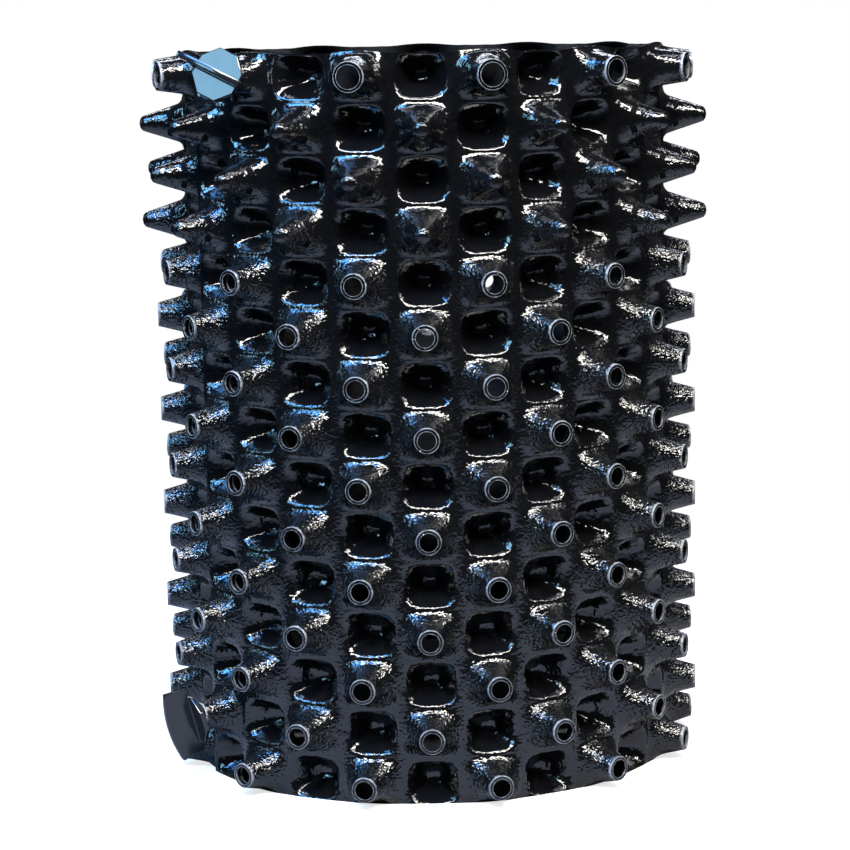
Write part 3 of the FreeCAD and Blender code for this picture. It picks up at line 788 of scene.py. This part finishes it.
def make_floor():
    """A pale floor that takes the pot's shadow; the camera sees it fade to white further out."""
    mesh = bpy.data.meshes.new("floor")
    corners = [(x * FLOOR_HALF, y * FLOOR_HALF, 0) for x, y in ((-1, -1), (1, -1), (1, 1), (-1, 1))]
    mesh.from_pydata(corners, [], [(0, 1, 2, 3)])
    floor = bpy.data.objects.new("floor", mesh)
    bpy.context.scene.collection.objects.link(floor)
    material = bpy.data.materials.new("pale_floor")
    tree = cleared_tree(material)
    rays = add_node(tree, "ShaderNodeLightPath")
    where = add_node(tree, "ShaderNodeTexCoord").outputs["Object"]
    out = add_node(tree, "ShaderNodeVectorMath", {"operation": "LENGTH"}, {0: where})
    beyond = add_node(tree, "ShaderNodeMapRange",
                      {"interpolation_type": "SMOOTHSTEP", "From Min": FADE_START,
                       "From Max": FADE_END},
                      {"Value": out.outputs["Value"]})
    outside = add_node(tree, "ShaderNodeMapRange",
                       {"From Min": GLOW_START, "From Max": GLOW_END, "To Max": GLOW},
                       {"Value": out.outputs["Value"]})
    pale = add_node(tree, "ShaderNodeBsdfDiffuse", {"Color": linear("b8b8b8")})
    glow = add_node(tree, "ShaderNodeEmission", {"Color": linear("ffffff")},
                    {"Strength": outside.outputs[0]})
    near = add_node(tree, "ShaderNodeAddShader", {}, {0: pale.outputs[0], 1: glow.outputs[0]})
    white = add_node(tree, "ShaderNodeEmission", {"Color": linear("ffffff"), "Strength": 1.0})
    seen = add_node(tree, "ShaderNodeMixShader", {},
                    {0: beyond.outputs[0], 1: near.outputs[0], 2: white.outputs[0]})
    shade = add_node(tree, "ShaderNodeMix",
                     {"data_type": "RGBA", MIX_COLOUR_A: linear("8c8f96"),
                      MIX_COLOUR_B: linear("26282c")},
                     {MIX_SHARE: beyond.outputs[0]})
    grey = add_node(tree, "ShaderNodeBsdfDiffuse", {}, {"Color": shade.outputs[MIXED_COLOUR]})
    mix = add_node(tree, "ShaderNodeMixShader", {},
                   {0: rays.outputs["Is Camera Ray"], 1: grey.outputs[0], 2: seen.outputs[0]})
    add_node(tree, "ShaderNodeOutputMaterial", {}, {"Surface": mix.outputs[0]})
    mesh.materials.append(material)


def add_lamp(name, azimuth, elevation, distance, width, height, radiance, colour):
    """A flat lamp that faces the pot; azimuth is in degrees from the front, towards the right."""
    a, e = math.radians(azimuth), math.radians(elevation)
    toward = Vector((math.cos(e) * math.sin(a), -math.cos(e) * math.cos(a), math.sin(e)))
    lamp = bpy.data.lights.new(name, "AREA")
    lamp.shape = "RECTANGLE"
    lamp.size, lamp.size_y = width, height
    lamp.energy = radiance * math.pi * width * height
    lamp.color = linear(colour)[:3]
    made = bpy.data.objects.new(name, lamp)
    made.location = toward * distance + LAMP_AIM
    made.rotation_mode = "QUATERNION"
    made.rotation_quaternion = toward.to_track_quat("Z", "Y")
    bpy.context.scene.collection.objects.link(made)


def make_world():
    """White to the camera, and a faint light on the pot."""
    world = bpy.data.worlds.new("white_surround")
    tree = cleared_tree(world)
    rays = add_node(tree, "ShaderNodeLightPath")
    white = add_node(tree, "ShaderNodeBackground", {"Color": linear("ffffff"), "Strength": 1.0})
    dim = add_node(tree, "ShaderNodeBackground",
                   {"Color": linear("dfe6f2"), "Strength": WORLD_LIGHT})
    mix = add_node(tree, "ShaderNodeMixShader", {},
                   {0: rays.outputs["Is Camera Ray"], 1: dim.outputs[0], 2: white.outputs[0]})
    add_node(tree, "ShaderNodeOutputWorld", {}, {"Surface": mix.outputs[0]})
    bpy.context.scene.world = world


# The camera, fitted to the photo, stands just above the rim and looks slightly down. Angles are
# in radians.
CAMERA_DISTANCE = 1424.6 * MM
CAMERA_HEIGHT = 392 * MM
CAMERA_PITCH = 0.1532
CAMERA_ROLL = 0.018
CAMERA_AROUND = -0.0073
POT_OFFSET = 1.8 * MM  # the pot stands this far right of the picture's middle
SENSOR_WIDTH = 36.0
FOCAL_PIXELS, PHOTO_WIDTH = 2690.5, 850


def make_camera():
    """The camera of the photo; its roll and its turn round the pot come from the fit."""
    camera = bpy.data.objects.new("camera", bpy.data.cameras.new("camera"))
    camera.data.sensor_width = SENSOR_WIDTH
    camera.data.lens = FOCAL_PIXELS * SENSOR_WIDTH / PHOTO_WIDTH
    forward = Vector((0, math.cos(CAMERA_PITCH), -math.sin(CAMERA_PITCH)))
    level_right = Vector((1, 0, 0))
    level_up = level_right.cross(forward)
    c, s = math.cos(CAMERA_ROLL), math.sin(CAMERA_ROLL)
    right = level_right * c - level_up * s
    up = level_right * s + level_up * c
    basis = Matrix((right, up, -forward)).transposed().to_4x4()
    place = Vector((-POT_OFFSET, -CAMERA_DISTANCE, CAMERA_HEIGHT))
    around = Matrix.Rotation(-CAMERA_AROUND, 4, "Z")
    camera.matrix_world = around @ Matrix.Translation(place) @ basis
    bpy.context.scene.collection.objects.link(camera)
    bpy.context.scene.camera = camera


sheet_plastic = thermoformed_polyethylene()
screw_plastic = moulded_black_nylon()
base_plastic = moulded_black_polypropylene()

rolled_sheet = make_rolled_sheet(sheet_plastic)
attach(rolled_sheet, "root")
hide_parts("wall_sheet")

for name, node, row, column, swing, lean, fin_angle, cone in SCREWS:
    screw = make_screw(name, row, column, swing, lean, fin_angle, cone, screw_plastic)
    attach(screw, "root")
    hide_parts(node)

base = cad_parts["base_disc"]
base.data.materials.clear()
base.data.materials.append(base_plastic)

make_floor()
for settings in LAMPS:
    add_lamp(*settings)
make_world()
make_camera()
bpy.context.scene.view_settings.view_transform = "Standard"
